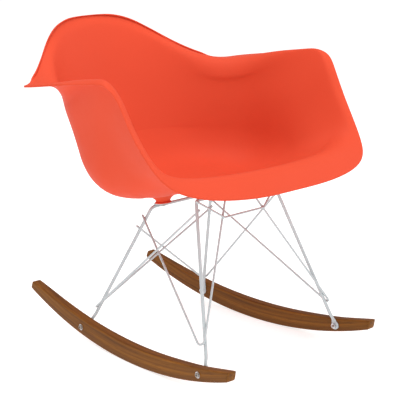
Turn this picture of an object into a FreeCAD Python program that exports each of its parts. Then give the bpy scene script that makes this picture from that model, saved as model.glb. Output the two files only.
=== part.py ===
import FreeCAD, Part
import math
import os

os.makedirs("parts", exist_ok=True)
V = FreeCAD.Vector

# Rocking chair: one-piece moulded armchair shell on a welded wire base with two timber rockers.
# Millimetres. +Z up, the chair faces -Y, mirror-symmetric about the plane x = 0.
# The rockers touch the floor at z = 0 with the chair at rest.

# ---------------------------------------------------------------- driving sizes
SHELL_T = 4.5            # wall of the moulded shell
CENTRE = (0, 20, 345)  # lowest point of the seat's upper surface

BAR_R = 3.5              # radius of the thick wires (legs and cross bars)
BRACE_R = 2.25           # radius of the thin wires (V braces and front tie)
REAR_TOP = (86.0, 32.4, 302.2)      # bend between a rear leg and the rear cross bar
FRONT_TOP = (111.6, -128.4, 350.0)  # bend between a front leg and the front cross bar
REAR_FOOT = (145.5, 33.0)           # y, z of the rear rocker bolts
FRONT_FOOT = (-240.6, 41.0)         # y, z of the front rocker bolts
REAR_BEND, FRONT_BEND = 12.0, 8.0   # centreline radius where a leg turns into its cross bar
# rear V braces: height of the apex, of the weld on the front leg and of the one on the opposite rear leg
REAR_V_Z_LEFT, REAR_V_Z_RIGHT = (61.4, 328.4, 253.0), (66.0, 331.4, 269.0)
FRONT_V_Z = 76.0         # front V braces: apex
FRONT_V_REAR_Z = (281.0, 276.0)     # where their rear arms meet the rear legs (left, right)
FRONT_V_X = 33.0         # where their upper arms meet the front cross bar
TIE_Z, TIE_LEG_Z = 311.8, 346.0     # front tie: its corners, and its ends on the front legs

ROCKER_X = 190.4         # distance of a rocker's centreline from x = 0, at y = 0
ROCKER_TOE = 0.0547      # the rockers spread towards the front: dx per mm of -y
ROCKER_W = 22.0          # rocker width
ROCKER_R = 919.6         # radius of the rocker's underside
ROCKER_Y0 = -24.4        # the underside touches the floor here
ROCKER_DEPTH = [(-335.5, 18.2), (-300, 23.2), (-250, 28.0), (-190, 33.6), (-120, 37.3), (-40, 39.5),
                (40, 40.0), (120, 38.4), (190, 35.6), (250, 31.2), (300, 25.5), (338.6, 18.5)]
FRONT_END, REAR_END = -325.5, 338.0      # the underside stops at these, and short faces close the ends
CORNER_R = 3.0             # rounding of a rocker's end corners
EDGE_R = 3.4               # rounding of its long edges

EYE_R = 9.0              # flattened eye at the foot of each leg
EYE_T = 4.0
BOLT_R = 3.0             # bolts through the rockers
HOLE_R = 3.3
REAR_BOSS_R = 17.8       # mounting bosses moulded under the seat
FRONT_BOSS_R = 16.0
# radius and height of a rear boss from its neck out into the shell
BOSS_FLARE = [(15.2, 4.0), (16.4, 7.0), (19.6, 10.5), (24.4, 14.0), (30.5, 18.0), (37.0, 22.0), (44.0, 26.2), (52.0, 30.4),
              (60.0, 33.5)]
REAR_BORE, FRONT_BORE = 14.0, 10.5   # depth of the bores for the threaded inserts
TILT = 8.0               # lean of the seat's mounts, in degrees
REAR_MOUNT_X = 65.0
FRONT_MOUNT_X = 78.0
MOUNT_STEP = 13.0        # distance of a seat screw from its cross bar

# ---------------------------------------------------------------- shell surface
# Control rings of the upper surface, half of each ring from the middle of the front edge
# round the +X side to the middle of the back's top edge.
RIM = [(0, -295.6, 385.6), (91.8, -299, 386.5), (180.7, -289.5, 393.9), (245.1, -261.4, 404.4), (281.1, -227.4, 424.5),
       (295.6, -190.2, 468.3), (302.8, -153.4, 518.6), (303.3, -128, 570.2), (315.5, -98.5, 606.5), (313.9, -46.2, 597.3),
       (311.3, 30.9, 589.9), (312.3, 104.2, 578.5), (311.9, 175.8, 568.2), (255, 203.7, 559.7), (180.5, 273.2, 602.5),
       (104.4, 328.3, 666.3), (0, 347.2, 671.5)]
CREST = [(0, -251.1, 423.2), (87.6, -247.1, 424.2), (169.3, -232.3, 424), (231.4, -207.2, 427.7), (270.2, -202.6, 443.8),
         (283.6, -180.6, 476.3), (287.8, -143.9, 525.2), (289.8, -118.1, 576.4), (301.8, -89.5, 612.8),
         (298.9, -45.9, 605.4), (283.7, 25.3, 595.3), (270.3, 82, 576), (256, 118.5, 567), (220, 172.5, 564.5),
         (171, 259, 598.5), (94.3, 319.6, 648.2), (0, 333, 660.4)]
WALL = [(0, -191.6, 389.1), (83.1, -185.4, 391), (156.2, -166, 392.3), (215, -141.5, 402), (238.9, -123.1, 423.8),
        (245.8, -100.6, 445.1), (250.9, -75.4, 468.7), (254.2, -52.1, 492.6), (255.6, -29.9, 502.5), (254.9, 0.8, 499.5),
        (248.7, 43.6, 491), (241.2, 84.4, 480), (221, 116, 472), (186.6, 157.7, 470.2), (139.7, 209.9, 474.6),
        (73.6, 244.9, 476.7), (0, 256.8, 476.5)]
FOOT = [(0, -98.5, 358.2), (69.5, -93.2, 359.4), (124.1, -79.5, 357.6), (170.1, -63.6, 350.4), (192.2, -45.1, 351.5),
        (205.3, -35.7, 346.7), (212.7, -22.7, 344.5), (217.3, -10.7, 342), (220.1, 4.2, 340.9), (224.4, 21.8, 341.1),
        (220.5, 45.6, 340.1), (208.8, 75.1, 345), (189.2, 104.3, 348.9), (160.4, 134, 350.5), (116.4, 160.9, 352.2),
        (60.9, 175.3, 354), (0, 179.5, 354)]
# how far each line's turn over the crest reaches: share of the wall, share of the lip, most, and outward pull
TURN = [(0.35, 0.6, 40, 0.5), (0.35, 0.6, 40, 0.5), (0.35, 0.6, 40, 0.5), (0.35, 0.6, 40, 0.5),
        (0.35, 0.6, 40, 0.5), (0.35, 0.6, 40, 0.5), (0.35, 0.6, 40, 0.5), (0.35, 0.6, 40, 0.5),
        (0.35, 0.6, 40, 0.5), (0.35, 0.6, 42, 0.5), (0.37, 0.65, 48, 0.45), (0.36, 0.7, 58, 0.4),
        (0.34, 0.75, 66, 0.35), (0.38, 0.8, 70, 0.3), (0.45, 0.8, 70, 0.25), (0.5, 0.8, 70, 0.25),
        (0.5, 0.8, 70, 0.25)]


def vadd(a, b, s=1.0):
    return (a[0] + b[0] * s, a[1] + b[1] * s, a[2] + b[2] * s)


def vsub(a, b):
    return (a[0] - b[0], a[1] - b[1], a[2] - b[2])


def vdot(a, b):
    return a[0] * b[0] + a[1] * b[1] + a[2] * b[2]


def vcross(a, b):
    return (a[1] * b[2] - a[2] * b[1], a[2] * b[0] - a[0] * b[2], a[0] * b[1] - a[1] * b[0])


def vlen(a):
    return math.sqrt(vdot(a, a))


def unit(a):
    n = vlen(a)
    return (a[0] / n, a[1] / n, a[2] / n)


def lerp(a, b, t):
    return (a[0] + (b[0] - a[0]) * t, a[1] + (b[1] - a[1]) * t, a[2] + (b[2] - a[2]) * t)


def bez(a, c, b, t):
    u = 1 - t
    return tuple(u * u * a[i] + 2 * u * t * c[i] + t * t * b[i] for i in range(3))


def profile(F, W, K, R, turn):
    """Points of one radial line of the seat, from the centre to the rim."""
    C = CENTRE
    d1, d2 = vsub(F, C), vsub(W, F)
    tf = min(0.5 * vlen(d1), 0.55 * vlen(d2), 80.0)
    a1, a2 = vadd(F, d1, -tf / vlen(d1)), vadd(F, d2, tf / vlen(d2))
    d1, d2 = vsub(W, F), vsub(K, W)
    tw = min(0.4 * vlen(d1), 0.4 * vlen(d2), 60.0)
    b1, b2 = vadd(W, d1, -tw / vlen(d1)), vadd(W, d2, tw / vlen(d2))
    d1, d2 = vsub(K, W), vsub(R, K)
    tk = min(turn[0] * vlen(d1), turn[1] * vlen(d2), turn[2])
    m1, m2 = vadd(K, d1, -tk / vlen(d1)), vadd(K, d2, tk / vlen(d2))
    Kc = vadd(K, vsub(K, lerp(m1, m2, 0.5)), turn[3])
    e1, e2 = vsub(W, Kc), vsub(R, Kc)
    c1, c2 = vadd(Kc, e1, tk / vlen(e1)), vadd(Kc, e2, tk / vlen(e2))
    P = [C, lerp(C, a1, 0.16), lerp(C, a1, 0.5), a1]
    P += [bez(a1, F, a2, 0.33), bez(a1, F, a2, 0.67), a2]
    P += [lerp(a2, b1, 0.5), b1, bez(b1, W, b2, 0.5), b2, lerp(b2, c1, 0.5), c1,
          bez(c1, Kc, c2, 0.5), c2, R]
    return P


def mirrored(cols):
    return list(cols) + [[(-p[0], p[1], p[2]) for p in c] for c in cols[-2:0:-1]]


def ring_params(cols):
    n = len(cols[0])
    t = [0.0] * n
    for j in range(1, n):
        mean = sum(vlen(vsub(c[j], c[j - 1])) for c in cols) / len(cols)
        t[j] = t[j - 1] + max(mean, 1e-6) ** 0.75
    return [v / t[-1] for v in t]


def clamped_knots(t, deg=3):
    n = len(t)
    U = [0.0] * (deg + 1)
    for j in range(1, n - deg):
        U.append(sum(t[j:j + deg]) / deg)
    return U + [1.0] * (deg + 1)


def find_span(U, n, u, deg=3):
    if u >= U[n]:
        return n - 1
    lo, hi = deg, n
    while hi - lo > 1:
        m = (lo + hi) // 2
        if u < U[m]:
            hi = m
        else:
            lo = m
    return lo


def basis(U, i, u, deg=3):
    N = [1.0] + [0.0] * deg
    L = [0.0] * (deg + 1)
    Rr = [0.0] * (deg + 1)
    for j in range(1, deg + 1):
        L[j] = u - U[i + 1 - j]
        Rr[j] = U[i + j] - u
        s = 0.0
        for r in range(j):
            q = N[r] / (Rr[r + 1] + L[j - r])
            N[r] = s + Rr[r + 1] * q
            s = L[j - r] * q
        N[j] = s
    return N


def solve(A, B):
    n = len(A)
    A = [r[:] for r in A]
    B = [list(b) for b in B]
    for c in range(n):
        p = max(range(c, n), key=lambda r: abs(A[r][c]))
        A[c], A[p] = A[p], A[c]
        B[c], B[p] = B[p], B[c]
        for r in range(c + 1, n):
            f = A[r][c] / A[c][c]
            if f:
                for k in range(c, n):
                    A[r][k] -= f * A[c][k]
                for k in range(len(B[r])):
                    B[r][k] -= f * B[c][k]
    X = [None] * n
    for r in range(n - 1, -1, -1):
        v = B[r][:]
        for k in range(r + 1, n):
            if A[r][k]:
                v = [v[i] - A[r][k] * X[k][i] for i in range(len(v))]
        X[r] = [x / A[r][r] for x in v]
    return X


def radial_control(cols, t, U):
    """Control points along each radial line that make it pass through its points."""
    n = len(t)
    A = [[0.0] * n for _ in range(n)]
    for r, u in enumerate(t):
        i = find_span(U, n, u)
        N = basis(U, i, u)
        for j in range(4):
            A[r][i - 3 + j] = N[j]
    flat = [[v for c in cols for v in c[j]] for j in range(n)]
    X = solve(A, flat)
    return [[tuple(X[j][3 * k:3 * k + 3]) for j in range(n)] for k in range(len(cols))]


def ring_control(cols):
    """Control points round each ring that make the ring pass through its points."""
    m = len(cols)
    A = [[0.0] * m for _ in range(m)]
    for k in range(m):
        A[k][(k - 1) % m] += 1 / 6.0
        A[k][k] += 4 / 6.0
        A[k][(k + 1) % m] += 1 / 6.0
    flat = [[v for p in c for v in p] for c in cols]
    X = solve(A, flat)
    n = len(cols[0])
    return [[tuple(X[k][3 * j:3 * j + 3]) for j in range(n)] for k in range(m)]


def surf_at(ctl, U, th, u):
    m, n = len(ctl), len(ctl[0])
    f = math.floor(th)
    t = th - f
    f = int(f)
    b = ((1 - t) ** 3 / 6, (3 * t ** 3 - 6 * t * t + 4) / 6, (-3 * t ** 3 + 3 * t * t + 3 * t + 1) / 6, t ** 3 / 6)
    i = find_span(U, n, u)
    N = basis(U, i, u)
    p = [0.0, 0.0, 0.0]
    for a in range(4):
        col = ctl[(f + a - 1) % m]
        for j in range(4):
            w = b[a] * N[j]
            q = col[i - 3 + j]
            p[0] += w * q[0]
            p[1] += w * q[1]
            p[2] += w * q[2]
    return tuple(p)


def surf_normal(ctl, U, th, u):
    e = 1e-3
    if u < 1e-4:
        return (0.0, 0.0, 1.0)
    u0, u1 = max(u - e, 0.0), min(u + e, 1.0)
    du = vsub(surf_at(ctl, U, th, u1), surf_at(ctl, U, th, u0))
    dt = vsub(surf_at(ctl, U, th + 0.01, u), surf_at(ctl, U, th - 0.01, u))
    return unit(vcross(du, dt))


COLS = mirrored([profile(*rings) for rings in zip(FOOT, WALL, CREST, RIM, TURN)])
T_RAD = ring_params(COLS)
U_RAD = clamped_knots(T_RAD)
TOP = radial_control(COLS, T_RAD, U_RAD)
M = len(TOP)
N_RAD = len(T_RAD)

OFFS = []
for k in range(M):
    line = []
    for u in T_RAD:
        p = surf_at(TOP, U_RAD, k, u)
        line.append(vadd(p, surf_normal(TOP, U_RAD, k, u), -SHELL_T))
    OFFS.append(line)
BOTTOM = radial_control(ring_control(OFFS), T_RAD, U_RAD)


def surface(ctl, knots, mults, deg):
    poles = [[V(*p) for p in col] for col in ctl]
    s = Part.BSplineSurface()
    s.buildFromPolesMultsKnots(poles, [1] * (M + 1), mults, [float(i) for i in range(M + 1)], knots,
                               True, False, 3, deg)
    return s


def distinct(U):
    ks, ms = [], []
    for u in U:
        if ks and abs(u - ks[-1]) < 1e-12:
            ms[-1] += 1
        else:
            ks.append(u)
            ms.append(1)
    return ks, ms


KN, MU = distinct(U_RAD)
top_face = surface(TOP, KN, MU, 3).toShape()
bottom_face = surface(BOTTOM, KN, MU, 3).toShape()
EDGE = []
for k in range(M):
    a, b = TOP[k][-1], BOTTOM[k][-1]
    out = unit(vsub(TOP[k][-1], TOP[k][-2]))
    EDGE.append([a, vadd(a, out, SHELL_T * 0.55), vadd(b, out, SHELL_T * 0.55), b])
edge_face = surface(EDGE, [0.0, 1.0], [4, 4], 3).toShape()


def foot_xy(ctl, x, y):
    """z of the surface above the point (x, y) of the seat's middle."""
    best = None
    for k in range(M):
        for j in range(1, 12):
            u = 0.05 * j
            p = surf_at(ctl, U_RAD, k, u)
            d = (p[0] - x) ** 2 + (p[1] - y) ** 2
            if best is None or d < best[0]:
                best = (d, float(k), u)
    th, u = best[1], best[2]
    for _ in range(12):
        p = surf_at(ctl, U_RAD, th, u)
        a = surf_at(ctl, U_RAD, th + 0.01, u)
        b = surf_at(ctl, U_RAD, th, u + 0.001)
        j11, j12 = (a[0] - p[0]) / 0.01, (b[0] - p[0]) / 0.001
        j21, j22 = (a[1] - p[1]) / 0.01, (b[1] - p[1]) / 0.001
        det = j11 * j22 - j12 * j21
        rx, ry = x - p[0], y - p[1]
        th += (rx * j22 - ry * j12) / det
        u += (j11 * ry - j21 * rx) / det
        u = min(max(u, 0.002), 0.9)
    return surf_at(ctl, U_RAD, th, u)[2]


def to_mount(shape, x, bar):
    """Place a shape built round a cross bar's axis (local origin, local +Z away from the seat's plane)."""
    s = shape.copy()
    s.rotate(V(0, 0, 0), V(1, 0, 0), -TILT)
    s.translate(V(x, bar[1], bar[2]))
    return s


MOUNTS = [("rear_left", REAR_MOUNT_X, REAR_TOP, -MOUNT_STEP), ("rear_right", -REAR_MOUNT_X, REAR_TOP, -MOUNT_STEP),
          ("front_left", FRONT_MOUNT_X, FRONT_TOP, MOUNT_STEP), ("front_right", -FRONT_MOUNT_X, FRONT_TOP, MOUNT_STEP)]
TAB_T = 2.5
TAB_Z = BAR_R - 0.04
BOSS_Z = TAB_Z + TAB_T

SHIFT_Y = -7.326            # puts the middle of the overall length at y = 0

out = {}

# ---------------------------------------------------------------- seat shell with its four bosses
sewn = Part.makeShell([top_face, bottom_face, edge_face])
sewn.sewShape()
shell = Part.Solid(sewn)
if shell.Volume < 0:
    shell.reverse()
print("shell", shell.isValid(), shell.Volume, shell.BoundBox)

boss_depth = {}
for name, x, bar, step in MOUNTS:
    rear_boss = bar is REAR_TOP
    stem = FRONT_BOSS_R
    high = 60.0
    ax = to_mount(Part.Vertex(V(0, step, BOSS_Z)), x, bar).Point
    gap = foot_xy(BOTTOM, ax.x, ax.y) - ax.z
    P = lambda r, z: V(r, 0, BOSS_Z + z)
    if rear_boss:
        flare = Part.BSplineCurve()
        flare.interpolate([P(r, z) for r, z in BOSS_FLARE])
        (r0, z0), (r1, z1) = BOSS_FLARE[0], BOSS_FLARE[-1]
        e = [Part.makeLine(P(0, 0), P(REAR_BOSS_R, 0)), Part.makeLine(P(REAR_BOSS_R, 0), P(REAR_BOSS_R, 2.2)),
             Part.makeLine(P(REAR_BOSS_R, 2.2), P(r0, z0)), flare.toShape(), Part.makeLine(P(r1, z1), P(r1, high)),
             Part.makeLine(P(r1, high), P(0, high)), Part.makeLine(P(0, high), P(0, 0))]
    else:
        e = [Part.makeLine(P(0, 0), P(stem, 0)), Part.makeLine(P(stem, 0), P(stem, high)),
             Part.makeLine(P(stem, high), P(0, high)), Part.makeLine(P(0, high), P(0, 0))]
    boss = Part.Face(Part.Wire(e)).revolve(V(0, 0, 0), V(0, 0, 1), 360)
    boss.translate(V(0, step, 0))
    boss = to_mount(boss, x, bar)
    # everything above the middle of the shell's wall is cut away
    grid = []
    gap_xy = 11.5 if rear_boss else 6.0
    for i in range(-6, 7):
        grid.append([V(ax.x + gap_xy * i, ax.y + 4 + gap_xy * j,
                       foot_xy(BOTTOM, ax.x + gap_xy * i, ax.y + 4 + gap_xy * j) + 2.0) for j in range(-6, 7)])
    cap = Part.BSplineSurface()
    cap.interpolate(grid)
    lid = cap.toShape().extrude(V(0, 0, 120))
    boss = boss.cut(lid)
    solids = sorted(boss.Solids, key=lambda s: s.BoundBox.ZMin)
    boss = solids[0]
    depth = REAR_BORE if rear_boss else FRONT_BORE
    boss_depth[name] = depth
    shell = shell.fuse(boss)
    hole = Part.makeCylinder(4.5, depth + 1.0, V(0, step, BOSS_Z - 1.0), V(0, 0, 1))
    shell = shell.cut(to_mount(hole, x, bar))
    print(name, "boss", boss.isValid(), boss.Volume, "top gap", gap, len(shell.Solids))
shell = shell.Solids[0] if len(shell.Solids) == 1 else shell
out["seat_shell"] = shell


def bar_between(a, b, r):
    d = vsub(b, a)
    return Part.makeCylinder(r, vlen(d), V(*a), V(*d))


def bent_rod(pts, radii, r):
    """Round wire through pts, with an arc of the given centreline radius at each inner point."""
    edges = []
    start = pts[0]
    for i in range(1, len(pts) - 1):
        a, p, b = pts[i - 1], pts[i], pts[i + 1]
        d1, d2 = unit(vsub(a, p)), unit(vsub(b, p))
        half = math.acos(max(-1.0, min(1.0, vdot(d1, d2)))) / 2
        R = radii[i - 1]
        t = R / math.tan(half)
        t1, t2 = vadd(p, d1, t), vadd(p, d2, t)
        bis = unit(vadd(d1, d2))
        c = vadd(p, bis, R / math.sin(half))
        mid = vadd(c, bis, -R)
        edges.append(Part.makeLine(V(*start), V(*t1)))
        edges.append(Part.Arc(V(*t1), V(*mid), V(*t2)).toShape())
        start = t2
    edges.append(Part.makeLine(V(*start), V(*pts[-1])))
    w = Part.Wire(edges)
    d = vsub(pts[1], pts[0])
    circ = Part.Wire([Part.Circle(V(*pts[0]), V(*d), r).toShape()])
    s = w.makePipeShell([circ], True, False)
    if s.Volume < 0:
        s.reverse()
    return s


def rod_path(pts, radii, step=1.0):
    """Sampled centreline of bent_rod."""
    P = []
    start = pts[0]
    for i in range(1, len(pts) - 1):
        a, p, b = pts[i - 1], pts[i], pts[i + 1]
        d1, d2 = unit(vsub(a, p)), unit(vsub(b, p))
        half = math.acos(max(-1.0, min(1.0, vdot(d1, d2)))) / 2
        R = radii[i - 1]
        t = R / math.tan(half)
        t1, t2 = vadd(p, d1, t), vadd(p, d2, t)
        c = vadd(p, unit(vadd(d1, d2)), R / math.sin(half))
        n = max(2, int(vlen(vsub(t1, start)) / step))
        P += [lerp(start, t1, q / n) for q in range(n)]
        e1, e2 = unit(vsub(t1, c)), unit(vsub(t2, c))
        ang = math.acos(max(-1.0, min(1.0, vdot(e1, e2))))
        for q in range(13):
            f = q / 12.0
            v = vadd(tuple(x * math.sin((1 - f) * ang) / math.sin(ang) for x in e1), e2, math.sin(f * ang) / math.sin(ang))
            P.append(vadd(c, v, R))
        start = t2
    n = max(2, int(vlen(vsub(pts[-1], start)) / step))
    P += [lerp(start, pts[-1], q / n) for q in range(n + 1)]
    return P


def gap_to_line(P, a, d):
    return min(vlen(vcross(vsub(p, a), d)) for p in P)


def flip(p):
    return (-p[0], p[1], p[2])


# ---------------------------------------------------------------- rockers
def rocker_point(y, off, side=1):
    """x of a point `off` outboard of a rocker's centre plane."""
    return side * (ROCKER_X - ROCKER_TOE * y + off * math.sqrt(1 + ROCKER_TOE ** 2))


TOE = math.degrees(math.atan(ROCKER_TOE))
OUT_DIR = unit((1.0, ROCKER_TOE, 0.0))


def under(y):
    return ROCKER_R - math.sqrt(ROCKER_R ** 2 - (y - ROCKER_Y0) ** 2)


def at_depth(y, d):
    """Point `d` above the underside, measured square to it."""
    a = (y - ROCKER_Y0) / ROCKER_R
    return (y - d * a, under(y) + d * math.sqrt(1 - a * a))


top_pts = [at_depth(y, d) for y, d in ROCKER_DEPTH]
f_low, r_low = (FRONT_END, under(FRONT_END)), (REAR_END, under(REAR_END))


def rocker_outline(x):
    P = lambda q: V(x, q[0], q[1])
    mid = (ROCKER_Y0, 0.0)
    low = Part.Arc(P(f_low), P(mid), P(r_low)).toShape()
    c = Part.BSplineCurve()
    c.interpolate([P(q) for q in top_pts])
    edges = [low, Part.makeLine(P(r_low), P(top_pts[-1])), c.toShape(), Part.makeLine(P(top_pts[0]), P(f_low))]
    return Part.Wire(Part.__sortEdges__(edges))


blank = Part.Face(rocker_outline(-ROCKER_W / 2)).extrude(V(ROCKER_W, 0, 0))
if blank.Volume < 0:
    blank.reverse()
# short edges across the four end corners, then the long edges of both faces
across = [e for e in blank.Edges if abs(e.BoundBox.XLength - ROCKER_W) < 1e-6]
eased = blank.makeFillet(CORNER_R, across)
if not (eased.isValid() and eased.Volume > 0):
    eased = blank
long_edges = [e for e in eased.Edges if e.Length > 300]
try:
    rounded = eased.makeFillet(EDGE_R, long_edges)
except Exception:
    rounded = eased
rocker = rounded if rounded.isValid() and rounded.Volume > 0 else eased
print("rocker rounding", eased is not blank, rocker is rounded)
for fy, fz in (REAR_FOOT, FRONT_FOOT):
    rocker = rocker.cut(Part.makeCylinder(HOLE_R, 60, V(-30, fy, fz), V(1, 0, 0)))
left = rocker.copy()
left.rotate(V(0, 0, 0), V(0, 0, 1), TOE)
left.translate(V(ROCKER_X, 0, 0))
right = left.mirror(V(0, 0, 0), V(1, 0, 0))
out["rocker_left"] = left
out["rocker_right"] = right
print("rocker", left.isValid(), left.Volume, left.BoundBox)


def on_rocker(shape, side):
    """Shape built round the un-toed rocker (centre plane x = 0, +x outboard) to its place."""
    s = shape.copy()
    s.rotate(V(0, 0, 0), V(0, 0, 1), TOE)
    s.translate(V(ROCKER_X, 0, 0))
    return s if side > 0 else s.mirror(V(0, 0, 0), V(1, 0, 0))


def rocker_world(x, y, z):
    a = math.radians(TOE)
    return (ROCKER_X + x * math.cos(a) - y * math.sin(a), x * math.sin(a) + y * math.cos(a), z)


# ---------------------------------------------------------------- legs, cross bars and eyes
EYE_MID = -(ROCKER_W / 2 + EYE_T / 2)


def hoop(top, foot, bend):
    f = rocker_world(EYE_MID, foot[0], foot[1])
    up = unit(vsub(top, f))
    leg_end = vadd(f, up, EYE_R - 2.0)
    path = [leg_end, top, flip(top), flip(leg_end)]
    s = bent_rod(path, [bend, bend], BAR_R)
    for side in (1, -1):
        eye = Part.makeCylinder(EYE_R, EYE_T, V(EYE_MID - EYE_T / 2, foot[0], foot[1]), V(1, 0, 0))
        s = s.fuse(on_rocker(eye, side))
    s = s.removeSplitter()
    for side in (1, -1):
        bore = Part.makeCylinder(HOLE_R, 60, V(-40, foot[0], foot[1]), V(1, 0, 0))
        s = s.cut(on_rocker(bore, side))
    return s, f, up


rear, rear_foot, rear_up = hoop(REAR_TOP, REAR_FOOT, REAR_BEND)
front, front_foot, front_up = hoop(FRONT_TOP, FRONT_FOOT, FRONT_BEND)
out["rear_hoop"] = rear
out["front_hoop"] = front
print("hoops", rear.isValid(), rear.Volume, front.isValid(), front.Volume)


def on_leg(foot, up, z):
    return vadd(foot, up, (z - foot[2]) / up[2])


SUM_R = BAR_R + BRACE_R - 0.03


def beside(q, dleg, other, side):
    """Centre of a thin wire that lies against a thick one at q and runs on towards `other`."""
    n = unit(vcross(dleg, vsub(q, other)))
    if vdot(n, side) < 0:
        n = tuple(-c for c in n)
    return vadd(q, n, SUM_R)


def v_brace(foot, up, z0, apex_side, ends):
    """One bent wire: apex beside a leg at z0, two arms to ends (point, direction, side, run-on)."""
    q0 = on_leg(foot, up, z0)
    reach = SUM_R
    for _ in range(400):
        apex = vadd(q0, apex_side, reach)
        pts = []
        for q, d, side, run in ends:
            e = beside(q, d, apex, side)
            pts.append(vadd(e, unit(vsub(e, apex)), run))
        path = rod_path([pts[0], apex, pts[1]], [9.0])
        if gap_to_line(path, foot, up) >= SUM_R:
            break
        reach += 0.05
    return [pts[0], apex, pts[1]], reach


rf, ru, ff, fu = rear_foot, rear_up, front_foot, front_up
rear_opp = (flip(rf), flip(ru))
bar_dir = (1.0, 0.0, 0.0)


def rear_v(zs, side, run):
    """One arm to the front leg's top, the other to the opposite rear leg."""
    low, front, z = zs
    return v_brace(rf, ru, low, unit((0.754, 0.657, 0.0)),
                   [(on_leg(ff, fu, front), fu, (-0.3, 1.0, 0.0), run[0]),
                    (on_leg(rear_opp[0], rear_opp[1], z), rear_opp[1], side, run[1])])[0]


def front_v(z):
    """One arm back to the rear leg, the other up to the front cross bar."""
    return v_brace(ff, fu, FRONT_V_Z, unit((0.922, -0.388, 0.0)),
                   [(on_leg(rf, ru, z), ru, (1.0, -0.6, 0.0), 9.0),
                    ((FRONT_V_X, FRONT_TOP[1], FRONT_TOP[2]), bar_dir, (0.0, -1.0, -0.2), 6.0)])[0]


# the two rear V braces cross behind the seat: one arm is welded behind the far leg, the other in front of it
REAR_V = rear_v(REAR_V_Z_LEFT, (0.2, 1.0, 0.3), (7.0, 9.0))
REAR_V_2 = rear_v(REAR_V_Z_RIGHT, (-0.2, -1.0, -0.3), (3.0, 3.0))
FRONT_V, FRONT_V_2 = front_v(FRONT_V_REAR_Z[0]), front_v(FRONT_V_REAR_Z[1])
print("rear V", [tuple(round(c, 1) for c in q) for q in REAR_V])
print("front V", [tuple(round(c, 1) for c in q) for q in FRONT_V])
for name, path, other in (("rear", REAR_V, REAR_V_2), ("front", FRONT_V, FRONT_V_2)):
    out["v_brace_%s_left" % name] = bent_rod(path, [9.0], BRACE_R)
    out["v_brace_%s_right" % name] = bent_rod([flip(q) for q in other], [9.0], BRACE_R)

# ---------------------------------------------------------------- front tie
arm_a, arm_b = FRONT_V[1], FRONT_V[2]
arm_d = unit(vsub(arm_b, arm_a))
corner_on_arm = vadd(arm_a, arm_d, (TIE_Z - arm_a[2]) / arm_d[2])
corner = vadd(corner_on_arm, unit((0.0, -1.0, -0.3)), 2 * BRACE_R + 1.2)
leg_q = on_leg(ff, fu, TIE_LEG_Z)
tie_end = beside(leg_q, fu, corner, (0.0, -1.0, 0.0))
run = vadd(tie_end, unit(vsub(tie_end, corner)), 6.0)
tie_pts = [run, corner, flip(corner), flip(run)]
tie = bent_rod(tie_pts, [7.0, 7.0], BRACE_R)
out["front_tie"] = tie
print("tie", tie.isValid(), tie.Volume, [tuple(round(c, 1) for c in q) for q in tie_pts])

# ---------------------------------------------------------------- rocker bolts, washers and nuts
def hexagon(af, h, x):
    r = af / math.sqrt(3)
    pts = [V(x, r * math.cos(math.radians(60 * i)), r * math.sin(math.radians(60 * i))) for i in range(7)]
    return Part.Face(Part.makePolygon(pts)).extrude(V(h, 0, 0))


face = ROCKER_W / 2
for tag, foot in (("rear", REAR_FOOT), ("front", FRONT_FOOT)):
    for side, sn in ((1, "left"), (-1, "right")):
        washer = Part.makeCylinder(6.5, 1.0, V(face, 0, 0), V(1, 0, 0)).cut(
            Part.makeCylinder(HOLE_R, 3, V(face - 1, 0, 0), V(1, 0, 0)))
        head = Part.makeCylinder(5.0, 2.8, V(face + 1.0, 0, 0), V(1, 0, 0))
        head = head.makeFillet(1.6, [e for e in head.Edges if abs(e.BoundBox.XMin - face - 3.8) < 1e-6 and e.BoundBox.YLength > 5])
        shank = Part.makeCylinder(BOLT_R, face + 1.0 + face + EYE_T + 7.0, V(-(face + EYE_T + 7.0), 0, 0), V(1, 0, 0))
        shank = shank.makeChamfer(0.6, [e for e in shank.Edges if abs(e.BoundBox.XMax + face + EYE_T + 7.0) < 1e-6 and e.BoundBox.YLength > 1])
        bolt = head.fuse(shank).removeSplitter()
        bolt = bolt.cut(hexagon(4.0, 3.0, face + 1.7))
        nut = hexagon(10.0, 5.0, -(face + EYE_T + 5.0)).cut(
            Part.makeCylinder(BOLT_R + 0.02, 40, V(-40, 0, 0), V(1, 0, 0)))
        for nm, s in (("rocker_washer", washer), ("rocker_bolt", bolt), ("rocker_nut", nut)):
            q = s.copy()
            q.translate(V(0, foot[0], foot[1]))
            out["%s_%s_%s" % (nm, tag, sn)] = on_rocker(q, side)

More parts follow.
